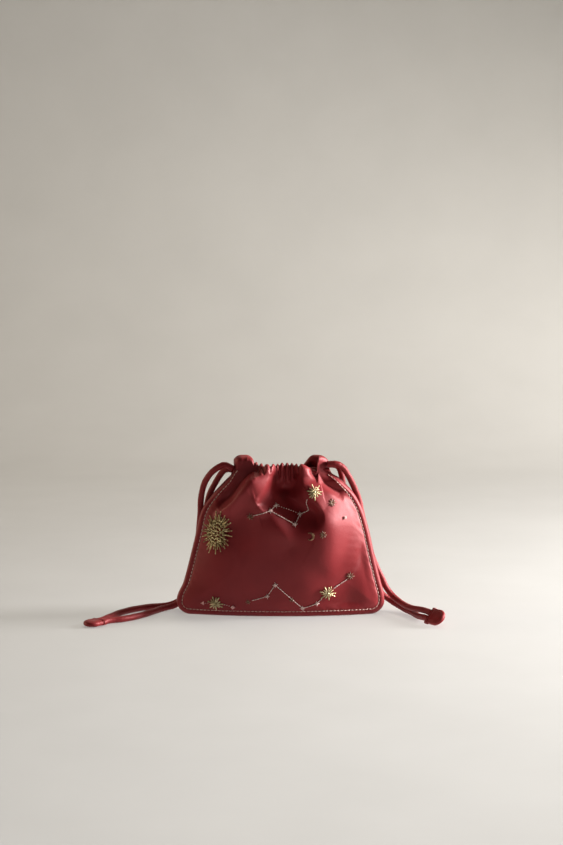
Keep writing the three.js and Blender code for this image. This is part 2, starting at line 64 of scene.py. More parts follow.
# Route of each free strand in tenths of a millimetre, from the casing to its tab
STRANDS = {
    "cord_left_front": [
        (-492, -50, 1449), (-508, -50, 1458), (-540, -50, 1466), (-586, -45, 1449), (-656, -30, 1398),
        (-720, 0, 1312), (-756, 25, 1212), (-773, 45, 1105), (-778, 52, 980), (-790, 56, 840),
        (-810, 63, 660), (-840, 76, 460), (-885, 88, 280), (-945, 92, 145), (-1024, 90, 64),
        (-1095, 80, 42), (-1165, 36, 33), (-1239, -82, 31), (-1335, -238, 31), (-1458, -380, 31),
        (-1525, -432, 31), (-1585, -458, 31), (-1630, -486, 31), (-1659, -514, 31), (-1679, -540, 31),
    ],
    "cord_left_back": [
        (-492, 50, 1408), (-509, 50, 1410), (-542, 60, 1399), (-574, 72, 1366), (-622, 80, 1290),
        (-668, 86, 1204), (-700, 98, 1120), (-725, 120, 1000), (-745, 135, 850), (-770, 148, 660),
        (-800, 162, 470), (-845, 172, 290), (-915, 174, 150), (-1028, 170, 69), (-1100, 170, 42),
        (-1180, 172, 32), (-1254, 150, 31), (-1376, 76, 31), (-1485, -36, 31), (-1572, -174, 31),
        (-1643, -330, 31), (-1686, -433, 31), (-1704, -469, 31), (-1725, -501, 31),
    ],
    "cord_right_front": [
        (491, -50, 1477), (510, -50, 1479), (548, -48, 1474), (604, -30, 1438), (658, -5, 1358),
        (714, 30, 1242), (758, 58, 1128), (787, 66, 1000), (816, 64, 850), (855, 66, 690),
        (900, 75, 540), (945, 85, 430), (991, 90, 338), (1036, 90, 239), (1103, 60, 155),
        (1189, -60, 104), (1269, -230, 96), (1352, -375, 111), (1409, -466, 112), (1430, -503, 111),
    ],
    "cord_right_back": [
        (491, 50, 1453), (510, 51, 1453), (544, 68, 1445), (576, 85, 1412), (596, 94, 1348),
        (607, 98, 1277), (620, 108, 1190), (645, 128, 1050), (685, 148, 890), (735, 163, 710),
        (795, 170, 530), (860, 170, 370), (930, 162, 245), (1010, 150, 151), (1069, 142, 106),
        (1136, 95, 69), (1208, -5, 43), (1277, -140, 34), (1328, -330, 38), (1373, -490, 60),
        (1396, -529, 62),
    ],
}
CASING_STRANDS = {"cord_left_casing": -1, "cord_right_casing": 1}
# Tabs: place of the mouth, heading and roll in degrees
TABS = {
    "cord_end_left": ((-0.1705, -0.0525, 0.0034), -130, 0),
    "cord_end_right": ((0.1416, -0.0520, 0.0086), -53, 47),
}
TAB_LENGTH, TAB_WIDTH, TAB_THICKNESS = 0.020, 0.0170, 0.0060
TAB_MIDDLE, TAB_CROWDING, TAB_ROWS, TAB_ARC = 0.47, 1.35, 25, 40
TAB_RIM, TAB_FLAT, TAB_PLUMP = 0.0030, 0.86, (0.002, 0.007)
TAB_GROOVE, TAB_GROOVE_INSET, TAB_GROOVE_WIDTH = 0.00045, 0.0022, 0.0006
TAB_WAVER, TAB_WAVES = 0.00022, (420, 500)
CUFF_LENGTH, CUFF_PROUD, CUFF_EDGE, CUFF_WIDENING = 0.0042, 0.0003, (-0.0002, 0.0006), 0.5
CUFF_FOLD, CUFF_FOLD_PLACE, CUFF_FOLD_WIDTH = 0.10, 0.0004, 0.0005

# Panels
SEAM_GAP = 0.0003
FLANGE = 0.0055
CORNER_RADIUS = 0.013
LENS_POWER, LEAST_SWELL = 2.2, 1e-4
PUFF_RISE, PUFF_REACH, PUFF_FADE = 0.0045, 0.015, (0.108, 0.134)
CASING_DEPTH, CASING_BLEND, CASING_TOP = 0.00965, (0.108, 0.135), 0.149
GATHER_SINK, GATHER_FROM, GATHER_TO, GATHER_EDGE = 0.0012, -0.0030, 0.0165, 0.0060
TUCK_SINK, TUCK_Z, TUCK_SPREAD = 0.0056, 0.1240, 0.0066
SHOULDER_SLOPE, SLOPE_FROM, SLOPE_TO, SLOPE_BLEND = 0.0060, 0.0330, 0.0460, (0.130, 0.141)
ROLL_HEIGHT = 0.004
MOUTH_HALF, MOUTH_BLEND = 0.032, (0.118, 0.138)
SHOULDER_X, SHOULDER_SPREAD, SHOULDER_RISE, SHOULDER_BLEND = 0.0350, 0.0105, 0.0062, (0.112, 0.136)
BACK_FALL, BACK_FALL_FADE = 0.006, (0.016, 0.034)
DIP_FROM, DIP_TO, DIP_END, DIP_FALL, DIP_FOOT = 0.0190, 0.0345, 0.0372, 0.0068, 0.1300
RIM_RADIUS, RIM_RADIUS_CASING, RIM_HEIGHT = 0.0050, 0.0060, 0.0042
STITCH_INSET, STITCH_GROOVE, STITCH_GROOVE_WIDTH = 0.0056, 0.0004, 0.0009
# Outline by height, in tenths of a millimetre
OUTLINE_COLUMNS = ("z", "half", "centre", "seam", "front", "back")
OUTLINE = np.array([
    (0, 1015, 0, -15, 135, 140),
    (150, 1012, 3, -15, 158, 230),
    (320, 960, 19, -15, 180, 240),
    (570, 896, 21, -15, 200, 240),
    (800, 843, 24, -13, 190, 220),
    (1000, 790, 19, -10, 165, 180),
    (1180, 685, 32, -5, 120, 120),
    (1260, 615, 34, -3, 90, 90),
    (1330, 545, 32, 0, 65, 65),
    (1390, 470, 20, 0, 45, 45),
    (1490, 454, 0, 0, 40, 40),
]) / TENTHS_PER_M

# Folds of the front in tenths of a millimetre: rise, widths at left and right, path of (x, z, strength)
FRONT_FOLDS = {
    "left valley": (-140, 80, 24, [(-288, 1353, 0.7), (-374, 1290, 1), (-444, 1215, 1),
        (-506, 1148, 0.8), (-602, 1054, 0)]),
    "left ridge": (148, 18, 115, [(-130, 1480, 0.1), (-180, 1415, 0.4), (-250, 1348, 1),
        (-340, 1276, 1.1), (-409, 1201, 1), (-464, 1141, 0.9), (-540, 1068, 0.6), (-643, 966, 0)]),
    "left billow": (70, 135, 80, [(-90, 1504, 0.5), (-87, 1442, 1), (-118, 1360, 1), (-166, 1276, 1),
        (-208, 1201, 1), (-236, 1141, 0.9), (-222, 1088, 0.3)]),
    "billow hook": (40, 60, 40, [(-236, 1148, 0.5), (-222, 1095, 1), (-173, 1058, 0.9),
        (-104, 1037, 0.4), (-35, 1027, 0)]),
    "hollow": (-170, 100, 92, [(50, 1518, 0.6), (50, 1381, 0.9), (40, 1290, 1), (48, 1208, 1),
        (100, 1125, 1), (165, 1050, 0.6), (230, 985, 0.2)]),
    "right dent": (-70, 120, 45, [(180, 1111, 0.4), (310, 1042, 1), (350, 959, 0.8), (335, 863, 0)]),
    "dent edge": (44, 34, 220, [(312, 1150, 0.3), (350, 1100, 0.8), (413, 1042, 1), (427, 966, 0.9),
        (391, 891, 0.4), (349, 809, 0)]),
    "right lobe": (56, 45, 150, [(165, 1518, 0.7), (185, 1415, 1), (210, 1325, 1), (255, 1235, 1),
        (335, 1155, 0.6), (430, 1075, 0)]),
    "outer ridge": (20, 80, 24, [(201, 1518, 0.6), (284, 1429, 1), (367, 1350, 1), (471, 1255, 1),
        (575, 1181, 0.6), (644, 1115, 0)]),
    "flange valley": (-95, 32, 65, [(319, 1449, 0.7), (388, 1374, 1), (457, 1297, 1),
        (540, 1218, 0.8), (616, 1141, 0)]),
    "shoulder tube": (60, 25, 80, [(332, 1567, 1), (357, 1484, 1), (353, 1401, 0.5), (395, 1332, 0)]),
    "middle tongue": (40, 180, 85, [(-144, 1042, 0.3), (-45, 932, 1), (54, 809, 0.8), (110, 709, 0)]),
    "right bulge": (52, 260, 140, [(440, 1080, 0.3), (480, 900, 1), (490, 720, 1), (470, 540, 0.6),
        (430, 380, 0)]),
    "right streak": (9, 80, 60, [(757, 891, 0), (771, 781, 1), (730, 609, 0.8), (603, 466, 0)]),
    "right trough": (-8, 70, 60, [(814, 695, 0), (800, 581, 1), (815, 437, 0.8), (830, 323, 0)]),
    "low right flat": (-55, 260, 200, [(730, 880, 0), (690, 580, 0.6), (660, 300, 1), (640, 100, 0.8)]),
    "left shoulder lobe": (46, 40, 34, [(-392, 1560, 1), (-400, 1480, 1), (-385, 1400, 0.6),
        (-370, 1340, 0)]),
    "left shoulder pleat": (46, 16, 20, [(-300, 1560, 1), (-316, 1480, 1), (-310, 1400, 0.8),
        (-290, 1350, 0)]),
    "shoulder crease": (-60, 30, 20, [(-274, 1553, 0.6), (-288, 1484, 1), (-291, 1408, 1),
        (-281, 1346, 0.3)]),
    "slant crease a": (-60, 14, 14, [(-208, 1525, 1), (-250, 1456, 1), (-284, 1370, 0)]),
    "slant crease b": (-60, 14, 14, [(-166, 1518, 1), (-214, 1455, 1), (-268, 1380, 0)]),
    "slant crease c": (-56, 14, 14, [(-118, 1508, 1), (-170, 1450, 1), (-238, 1385, 0)]),
}
BACK_FOLD_COUNT, BACK_FOLD_PITCH, BACK_FOLD_SPREAD = 7, 0.0095, 1.9
BACK_FOLD_Z, BACK_FOLD_WIDTH, BACK_FOLD_RISE = (0.137, 0.070), 0.0065, 0.0046
FOLD_EDGE_FADE = 0.009
FOLD_BLEND, FOLD_BLEND_GROWTH = 0.0008, 0.12
CORNER_CUTS, CORNER_SHARE = 2, 0.25
# Gathers: creases of the casing, each at x and down to a foot, and the notches they leave in the hem
CREASES = [
    (-0.0044, 0.127), (-0.0008, 0.130), (0.0042, 0.126), (0.0090, 0.128), (0.0134, 0.131), (0.0177, 0.136),
]
CREASE_DEPTH, CREASE_WIDTH, CREASE_BLEND = 0.0024, 0.0011, 0.007
HEM_NOTCHES = (-0.0250, -0.0208, -0.0160, -0.0095, -0.0044, -0.0008, 0.0042, 0.0090, 0.0134, 0.0177)
NOTCH_DEPTH, NOTCH_WIDTH, NOTCH_FROM = 0.0030, 0.0013, 0.138
# Unevenness of stuffed satin: heights, and two slanting waves each by their (across, up, shift)
WAVERS = [(0.0006, (61, 23, 0.7), (-31, 47, 1.9)), (0.00025, (143, -67, 2.3), (83, 121, 0.4))]
WAVER_EDGE = (0.001, 0.02)
DRAG_HEIGHT, DRAG_INSET, DRAG_WIDTH = 0.00008, 0.002, 0.0042
DRAG_PITCH, DRAG_DRIFT, SHORT_DRAG, SHORT_DRAG_PITCH, SHORT_DRAG_SHIFT = 0.0098, (2.2, 41), 0.6, 0.0061, 1.3

# Lights: place, target, size, power, colour and spread in degrees
KEY_LIGHT = ((1.9, 0.14, 0.62), (0, -0.02, -0.10), (0.5, 0.8), 46.5, (1.0, 0.99, 0.98), 106)
KEY_SHADOW_SHARE = 0.30
LIGHTS = {
    "overhead": ((0.2, 1.10, 2.0), (0.1, 1.02, 0), (2.4, 0.9), 8.2, (1.0, 0.89, 0.72), 100),
    "wall": ((1.25, 0.90, 0.36), (0, 1.60, 0.28), (0.4, 0.4), 3.3, (1.0, 0.97, 0.91), 80),
    "floor": ((0.3, -0.95, 1.7), (0.3, -0.95, 0), (1.6, 0.5), 5.0, (1.0, 0.97, 0.92), 75),
    "front floor": ((0, -3.8, 2.4), (0, -3.8, 0), (6.0, 3.0), 40, (1.0, 0.97, 0.92), 80),
    "fill": ((-1.8, 0.30, 0.5), (0, 0.1, 0.08), (0.8, 0.8), 10.5, (1.0, 0.84, 0.60), 180),
}
WORLD_COLOUR, WORLD_STRENGTH = (0.86, 0.84, 0.80, 1), 0.03

# Resolution of the panels
PANEL_COLUMNS = 232
CORNER_ROWS, MIDDLE_ROWS, UPPER_ROWS, ROLL_ROWS, BASE_ROWS = 16, 74, 82, 9, 10
UPPER_FROM = 0.100
EDGE_CROWDING = 0.28
WELD_DISTANCE = 2e-6


def smoothstep(value, low, high):
    t = np.clip((value - low) / (high - low), 0, 1)
    return t * t * (3 - 2 * t)


def bell(value, width):
    return np.exp(-((value / width) ** 2))


def quarter_round(t):
    """Quarter circle that starts upright at 0 and is level from 1 on."""
    return np.sqrt(np.maximum(0, 1 - (1 - np.minimum(1, t)) ** 2))


def towards(angle):
    return np.array([math.cos(angle), math.sin(angle)])


def unit(vectors):
    return vectors / np.linalg.norm(vectors, axis=-1, keepdims=True)


def run_along(points):
    return np.concatenate([[0], np.cumsum(np.linalg.norm(np.diff(points, axis=0), axis=1))])


# Outline of the bag by height
def along(name, z):
    heights = OUTLINE[:, 0]
    values = OUTLINE[:, OUTLINE_COLUMNS.index(name)]
    spans = np.diff(heights)
    secants = np.diff(values) / spans
    before, after = secants[:-1], secants[1:]
    total = np.where(before * after > 0, before + after, 1)
    inner = np.where(before * after > 0, 2 * before * after / total, 0)
    slopes = np.concatenate([[0], inner, [0]])
    z = np.clip(z, heights[0], heights[-1])
    i = np.clip(np.searchsorted(heights, z, side="right") - 1, 0, len(spans) - 1)
    t = (z - heights[i]) / spans[i]
    start = (1 + 2 * t) * (1 - t) ** 2 * values[i] + t * (1 - t) ** 2 * spans[i] * slopes[i]
    end = t * t * (3 - 2 * t) * values[i + 1] + t * t * (t - 1) * spans[i] * slopes[i + 1]
    return start + end


def half_width(z):
    drop = np.maximum(0, CORNER_RADIUS - z)
    return along("half", z) - CORNER_RADIUS + np.sqrt(np.maximum(0, CORNER_RADIUS**2 - drop**2))


def off_centre(x, z):
    return np.abs(x - along("centre", z))


def edge_distance(x, z):
    from_side = along("half", z) - off_centre(x, z)
    corner_x = CORNER_RADIUS - from_side
    corner_z = CORNER_RADIUS - z
    in_corner = (corner_x > 0) & (corner_z > 0)
    return np.where(in_corner, CORNER_RADIUS - np.hypot(corner_x, corner_z), np.minimum(from_side, z))


def at_casing(z):
    return smoothstep(z, *CASING_BLEND)


# Rise of the shoulders, and where the top edges hang lower
def lift(x, z, side):
    upper = smoothstep(z, *SHOULDER_BLEND)
    outward = np.abs(x) - SHOULDER_X
    rise = SHOULDER_RISE * np.exp(-((outward / SHOULDER_SPREAD) ** 4))
    if side == "back":
        return upper * (rise - BACK_FALL * (1 - smoothstep(np.abs(x), *BACK_FALL_FADE)))
    mouth = smoothstep(x, DIP_FROM, DIP_TO)
    strip = smoothstep(x, DIP_TO, DIP_END)
    above_foot = np.clip((z - DIP_FOOT) / (CASING_TOP - ROLL_HEIGHT - DIP_FOOT), 0, 1)
    right_side = above_foot * (strip * rise - DIP_FALL * mouth * (1 - strip))
    return np.where(x > 0, right_side, upper * rise)


# Folds
def fold_shape(fold, x, z):
    """Height of one fold; where two stretches of its path are about as near, theirs are blended."""
    rise, left, right, path = fold
    distances, heights = [], []
    for (x0, z0, s0), (x1, z1, s1) in zip(path[:-1], path[1:]):
        dx, dz = x1 - x0, z1 - z0
        t = np.clip(((x - x0) * dx + (z - z0) * dz) / (dx * dx + dz * dz), 0, 1)
        away_x, away_z = x - x0 - t * dx, z - z0 - t * dz
        distance = np.hypot(away_x, away_z)
        width = np.where(dx * away_z - dz * away_x > 0, right, left)
        distances.append(distance)
        heights.append((s0 + (s1 - s0) * t) * bell(distance, width))
    nearest = np.min(distances, axis=0)
    blend = FOLD_BLEND + FOLD_BLEND_GROWTH * nearest
    weights = [np.exp((nearest - distance) / blend) for distance in distances]
    return rise * sum(w * h for w, h in zip(weights, heights)) / sum(weights)


def back_folds():
    folds = []
    for k in range(BACK_FOLD_COUNT):
        x = (k - (BACK_FOLD_COUNT - 1) / 2) * BACK_FOLD_PITCH
        rise = BACK_FOLD_RISE if k % 2 == 0 else -BACK_FOLD_RISE
        path = [(x, BACK_FOLD_Z[0], 1.0), (x * BACK_FOLD_SPREAD, BACK_FOLD_Z[1], 0.0)]
        folds.append((rise, BACK_FOLD_WIDTH, BACK_FOLD_WIDTH, path))
    return folds


def front_fold(rise, left, right, path):
    """A fold in metres, with the corners of its path cut, so that its crest bends and fades smoothly."""
    path = np.array(path) / (TENTHS_PER_M, TENTHS_PER_M, 1)
    for _ in range(CORNER_CUTS):
        starts, ends = path[:-1], path[1:]
        early = (1 - CORNER_SHARE) * starts + CORNER_SHARE * ends
        late = CORNER_SHARE * starts + (1 - CORNER_SHARE) * ends
        path = np.vstack([path[:1], np.stack([early, late], axis=1).reshape(-1, 3), path[-1:]])
    return rise / TENTHS_PER_M, left / TENTHS_PER_M, right / TENTHS_PER_M, path


FOLDS = {"front": [front_fold(*fold) for fold in FRONT_FOLDS.values()], "back": back_folds()}


# Swell of a panel: the distance of its inner face from the seam plane
def swell(x, z, side):
    edge = edge_distance(x, z)
    open_half = along("half", z) - FLANGE
    half = open_half + (MOUTH_HALF - open_half) * smoothstep(z, *MOUTH_BLEND)
    reach = np.minimum(1, off_centre(x, z) / half)
    bow = along(side, z) * (1 - reach**LENS_POWER)
    from_edge = edge if side == "front" else along("half", z) - off_centre(x, z)
    inside = np.maximum(0, from_edge - FLANGE)
    puff = PUFF_RISE * (1 - np.exp(-inside / PUFF_REACH)) * (1 - smoothstep(z, *PUFF_FADE))
    base = bow + puff
    fade = smoothstep(from_edge, FLANGE, FLANGE + FOLD_EDGE_FADE)
    folds = fade * sum(fold_shape(fold, x, z) for fold in FOLDS[side])
    sunk = base * np.exp(np.minimum(0, folds) / np.maximum(base, LEAST_SWELL))
    return np.where(folds > 0, base + folds, sunk)


# Gathers of the casing
def creases(x, z):
    return sum(
        bell(x - at, CREASE_WIDTH) * smoothstep(z, foot, foot + CREASE_BLEND) for at, foot in CREASES)


# Unevenness of stuffed satin, and drag lines beside the topstitching
def waver(x, z):
    def wave(across, up, shift):
        return np.sin(across * x + up * z + shift)

    return sum(height * wave(*first) * wave(*second) for height, first, second in WAVERS)


def drag_lines(x, z, edge):
    run = x + z
    drift, drift_rate = DRAG_DRIFT
    ripple = np.sin(2 * np.pi * run / DRAG_PITCH + drift * np.sin(drift_rate * run))
    ripple = ripple + SHORT_DRAG * np.sin(2 * np.pi * run / SHORT_DRAG_PITCH + SHORT_DRAG_SHIFT)
    return DRAG_HEIGHT * ripple * bell(edge - FLANGE - DRAG_INSET, DRAG_WIDTH)


def gather_sink(x, z):
    """How far the gathers of the middle, and the tuck beneath them, lie behind the billows beside them."""
    from_left = smoothstep(x, GATHER_FROM - GATHER_EDGE, GATHER_FROM + GATHER_EDGE)
    from_right = 1 - smoothstep(x, GATHER_TO - GATHER_EDGE, GATHER_TO + GATHER_EDGE)
    sink = GATHER_SINK * at_casing(z) + TUCK_SINK * bell(z - TUCK_Z, TUCK_SPREAD)
    return from_left * from_right * sink


def cover(x, z):
    """Thickness from the inner face of a panel to the outer, with its rim, stitch groove and creases."""
    casing = at_casing(z)
    edge = np.maximum(0, edge_distance(x, z))
    rim = quarter_round(edge / (RIM_RADIUS + (RIM_RADIUS_CASING - RIM_RADIUS) * casing))
    groove = STITCH_GROOVE * bell(edge - STITCH_INSET, STITCH_GROOVE_WIDTH) * (1 - casing)
    small = waver(x, z) * smoothstep(edge, *WAVER_EDGE) + drag_lines(x, z, edge) * (1 - casing)
    thick = RIM_HEIGHT + (CASING_DEPTH - RIM_HEIGHT) * casing - gather_sink(x, z)
    thick = thick - SHOULDER_SLOPE * smoothstep(x, SLOPE_FROM, SLOPE_TO) * smoothstep(z, *SLOPE_BLEND)
    return rim * (thick - groove + small) - CREASE_DEPTH * creases(x, z)


# Points of a panel at nominal places (x, z), from its inner face at share 0 to its outer face at 1
def surface_point(x, z, side="front", share=1.0):
    sign = -1 if side == "front" else 1
    inner = swell(x, z, side)
    outer = inner + cover(x, z)
    y = along("seam", z) + sign * (SEAM_GAP / 2 + inner + share * (outer - inner))
    notches = sum(bell(x - at, NOTCH_WIDTH) for at in HEM_NOTCHES)
    notch = NOTCH_DEPTH * notches * smoothstep(z, NOTCH_FROM, CASING_TOP - ROLL_HEIGHT)
    return np.stack([x, y, z + lift(x, z, side) - notch], axis=-1)


def surface_normal(x, z, side="front", step=0.0004):
    across = surface_point(x + step, z, side) - surface_point(x - step, z, side)
    up = surface_point(x, z + step, side) - surface_point(x, z - step, side)
    return unit(np.cross(across, up) if side == "front" else np.cross(up, across))


# Camera
def make_camera():
    data = bpy.data.cameras.new("camera")
    data.lens = LENS_MM
    data.sensor_width = SENSOR_MM
    camera = bpy.data.objects.new("camera", data)
    camera.location = CAMERA_PLACE
    camera.rotation_euler = (math.pi / 2 - CAMERA_PITCH, 0, 0)
    bpy.context.scene.collection.objects.link(camera)
    bpy.context.scene.camera = camera


def pixel_ray(pixel):
    across = (pixel[0] - IMAGE_WIDTH / 2) / FOCAL_PIXELS
    down = (pixel[1] - IMAGE_HEIGHT / 2) / FOCAL_PIXELS
    level, fall = towards(CAMERA_PITCH)
    return np.array([across, level - down * fall, -fall - down * level])


def on_front(pixel):
    """Nominal (x, z) of the front panel where the photograph shows it at this pixel."""
    ray = pixel_ray(pixel)
    place = np.array(PIXEL_START)
    for _ in range(PIXEL_ROUNDS):
        point = surface_point(place[0], place[1])
        seen = CAMERA_PLACE + ray * (point[1] - CAMERA_PLACE[1]) / ray[1]
        place = place + PIXEL_STEP * (seen - point)[[0, 2]]
    return place


# Meshes
def make_object(name, vertices, faces, material):
    mesh = bpy.data.meshes.new(name)
    mesh.from_pydata([tuple(v) for v in vertices], [], [tuple(f) for f in faces])
    mesh.polygons.foreach_set("use_smooth", [True] * len(mesh.polygons))
    mesh.materials.append(material)
    mesh.update()
    piece = bpy.data.objects.new(name, mesh)
    bpy.context.scene.collection.objects.link(piece)
    return piece


def make_piece(name, vertices, faces, material, slot, *nodes):
    """A mesh on the bag's body, with its material and the CAD nodes that it stands for; the slot argument
    is not used.
    """
    piece = make_object(name, vertices, faces, material)
    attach(piece, BODY)
    if nodes:
        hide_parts(*nodes)
    return piece


def grid_faces(rows, columns):
    i = np.arange(rows - 1)[:, None] * columns + np.arange(columns - 1)[None, :]
    return np.stack([i, i + 1, i + columns + 1, i + columns], axis=-1).reshape(-1, 4)


class Bundle:
    """Many small shapes joined into one mesh."""

    def __init__(self):
        self.vertices, self.faces, self.count = [], [], 0

    def add(self, vertices, faces):
        self.vertices.append(vertices)
        self.faces.extend([tuple(int(i) + self.count for i in face) for face in faces])
        self.count += len(vertices)

    def tube(self, points, radii, sides=6):
        rings = tube_rings(points, radii, sides).reshape(-1, 3)
        self.add(np.concatenate([rings, points[:1], points[-1:]]), tube_faces(len(points), sides))

    def make(self, name, material, slot, *nodes):
        return make_piece(name, np.concatenate(self.vertices), self.faces, material, slot, *nodes)


def tube_frames(points):
    tangents = unit(np.gradient(points, axis=0))
    start = (0, 0, 1) if abs(tangents[0][2]) < 0.9 else (1, 0, 0)
    normal = np.cross(tangents[0], start)
    normals = []
    for tangent in tangents:
        normal = unit(normal - tangent * np.dot(normal, tangent))
        normals.append(normal)
    normals = np.array(normals)
    return normals, np.cross(tangents, normals)


def tube_rings(points, radii, sides):
    """Rings about the points; radii has one number for each point, or one for each side of each point."""
    normals, sideways = tube_frames(points)
    angles = 2 * np.pi * np.arange(sides)[:, None] / sides
    ring = np.cos(angles) * normals[:, None, :] + np.sin(angles) * sideways[:, None, :]
    return points[:, None, :] + np.reshape(radii, (len(points), -1, 1)) * ring


def ring_faces(count, sides):
    faces = []
    for k in range(count - 1):
        for s in range(sides):
            n = (s + 1) % sides
            faces.append((k * sides + s, k * sides + n, (k + 1) * sides + n, (k + 1) * sides + s))
    return faces


def tube_faces(count, sides):
    """Walls between the rings, and a fan to each of the two end points that follow them."""
    faces = ring_faces(count, sides)
    first, last = count * sides, count * sides + 1
    for s in range(sides):
        n = (s + 1) % sides
        faces.append((first, n, s))
        faces.append((last, (count - 1) * sides + s, (count - 1) * sides + n))
    return faces


def mixed(a, b, t, start, end):
    return ((end - t) * a + (t - start) * b) / (end - start)


def smooth_curve(points, step):
    """Points about step apart on a centripetal Catmull-Rom curve."""
    padded = np.concatenate([[2 * points[0] - points[1]], points, [2 * points[-1] - points[-2]]])
    out = []
    for p0, p1, p2, p3 in zip(padded[:-3], padded[1:-2], padded[2:-1], padded[3:]):
        t1 = math.sqrt(np.linalg.norm(p1 - p0))
        t2 = t1 + math.sqrt(np.linalg.norm(p2 - p1))
        t3 = t2 + math.sqrt(np.linalg.norm(p3 - p2))
        count = max(2, int(np.linalg.norm(p2 - p1) / step))
        t = np.linspace(t1, t2, count, endpoint=False)[:, None]
        a1, a2, a3 = mixed(p0, p1, t, 0, t1), mixed(p1, p2, t, t1, t2), mixed(p2, p3, t, t2, t3)
        out.append(mixed(mixed(a1, a2, t, 0, t2), mixed(a2, a3, t, t1, t3), t, t1, t2))
    return np.concatenate([*out, points[-1:]])


# Materials
def new_material(name):
    """A material, its node tree, its shader, and a socket with the piece's own coordinates."""
    material = bpy.data.materials.new(name)
    material.use_nodes = True
    tree = material.node_tree
    place = tree.nodes.new("ShaderNodeTexCoord").outputs["Object"]
    return material, tree, tree.nodes["Principled BSDF"], place


def settle(tree, node, values, **feeds):
    """Sets a node's constant inputs, and links the sockets that feed the others."""
    for name, value in values.items():
        node.inputs[name].default_value = value
    for name, socket in feeds.items():
        tree.links.new(socket, node.inputs[name])


def colour_by(tree, shader, pattern, stops):
    """Base colour from a pattern, by a ramp of (place, colour) stops."""
    node = tree.nodes.new("ShaderNodeValToRGB")
    elements = node.color_ramp.elements
    while len(elements) < len(stops):
        elements.new(0.5)
    for element, (place, colour) in zip(elements, stops):
        element.position = place
        element.color = (*colour, 1)
    tree.links.new(pattern, node.inputs["Fac"])
    tree.links.new(node.outputs["Color"], shader.inputs["Base Color"])


def noise(tree, place, scale, detail):
    node = tree.nodes.new("ShaderNodeTexNoise")
    settle(tree, node, {"Scale": scale, "Detail": detail}, Vector=place)
    return node.outputs["Fac"]


def bump(tree, height, strength, distance, **after):
    node = tree.nodes.new("ShaderNodeBump")
    settle(tree, node, {"Strength": strength, "Distance": distance}, Height=height, **after)
    return node.outputs["Normal"]


def satin_material(name, dark, mid, light, weave_scale, roughness):
    material, tree, shader, place = new_material(name)
    patches = noise(tree, place, scale=26, detail=4)
    colour_by(tree, shader, patches, [(0.30, dark), (0.5, mid), (0.72, light)])
    slubs = noise(tree, place, scale=240, detail=2)
    rough = tree.nodes.new("ShaderNodeMapRange")
    settle(tree, rough, {"To Min": roughness - 0.05, "To Max": roughness + 0.07}, Value=slubs)
    weave = tree.nodes.new("ShaderNodeTexWave")
    weave.wave_type = "BANDS"
    weave.bands_direction = "DIAGONAL"
    settle(tree, weave, {"Scale": weave_scale, "Distortion": 1.5, "Detail": 2.0}, Vector=place)
    crumple = noise(tree, place, scale=120, detail=3)
    coarse = bump(tree, crumple, strength=0.10, distance=0.001)
    fine = bump(tree, weave.outputs["Fac"], strength=0.10, distance=0.0002, Normal=coarse)
    gloss = {"Specular IOR Level": 0.65, "Specular Tint": (1.0, 0.40, 0.41, 1), "Anisotropic": 0.35}
    sheen = {"Sheen Weight": 0.05, "Sheen Roughness": 0.35, "Sheen Tint": (1.0, 0.45, 0.45, 1)}
    settle(tree, shader, {**gloss, **sheen}, Roughness=rough.outputs["Result"], Normal=fine)
    return material


def thread_material(name, dark, light, roughness, sheen):
    material, tree, shader, place = new_material(name)
    strands = noise(tree, place, scale=900, detail=3)
    colour_by(tree, shader, strands, [(0.35, dark), (0.65, light)])
    twist = bump(tree, strands, strength=0.3, distance=0.0002)
    settle(tree, shader, {"Roughness": roughness, "Sheen Weight": sheen}, Normal=twist)
    return material


def metal_thread_material(name, dark, light, roughness):
    material, tree, shader, place = new_material(name)
    tarnish = noise(tree, place, scale=420, detail=3)
    colour_by(tree, shader, tarnish, [(0.32, dark), (0.62, light)])
    grain = noise(tree, place, scale=2400, detail=2)
    uneven = bump(tree, grain, strength=0.25, distance=0.0001)
    settle(tree, shader, {"Metallic": 0.60, "Roughness": roughness}, Normal=uneven)
    return material


def mottled_material(name, dark, light, scale, detail, surface):
    material, tree, shader, place = new_material(name)
    colour_by(tree, shader, noise(tree, place, scale, detail), [(0.3, dark), (0.7, light)])
    settle(tree, shader, surface)
    return material


SATIN = satin_material(
    "satin", (0.18, 0.012, 0.015), (0.21, 0.015, 0.018), (0.24, 0.018, 0.021), 700, 0.48)
CORD_SATIN = satin_material(
    "cord_satin", (0.17, 0.010, 0.012), (0.20, 0.012, 0.014), (0.23, 0.015, 0.017), 900, 0.50)
TOPSTITCH = thread_material("topstitch_thread", (0.56, 0.32, 0.27), (0.78, 0.52, 0.45), 0.55, 0.2)
PALE_THREAD = thread_material("pale_thread", (0.66, 0.44, 0.40), (0.86, 0.66, 0.60), 0.45, 0.3)
DARK_THREAD = thread_material("dark_gold_thread", (0.10, 0.045, 0.022), (0.34, 0.20, 0.11), 0.40, 0.1)
GOLD = metal_thread_material("gold_purl", (0.26, 0.17, 0.06), (0.90, 0.76, 0.42), 0.30)
PALE_GOLD = metal_thread_material("pale_gold_purl", (0.22, 0.16, 0.07), (0.74, 0.61, 0.35), 0.38)
BRONZE = metal_thread_material("bronze_wire", (0.12, 0.070, 0.028), (0.56, 0.42, 0.20), 0.34)
OLD_GOLD = metal_thread_material("old_gold_purl", (0.22, 0.10, 0.06), (0.52, 0.32, 0.19), 0.38)
BEAD = mottled_material(
    "bead_glass", (0.55, 0.20, 0.20), (0.86, 0.52, 0.48), 700, 2, {"Roughness": 0.16, "Coat Weight": 0.5})
PAPER = mottled_material("paper", (0.455, 0.448, 0.436), (0.475, 0.468, 0.456), 9, 5, {"Roughness": 0.85})


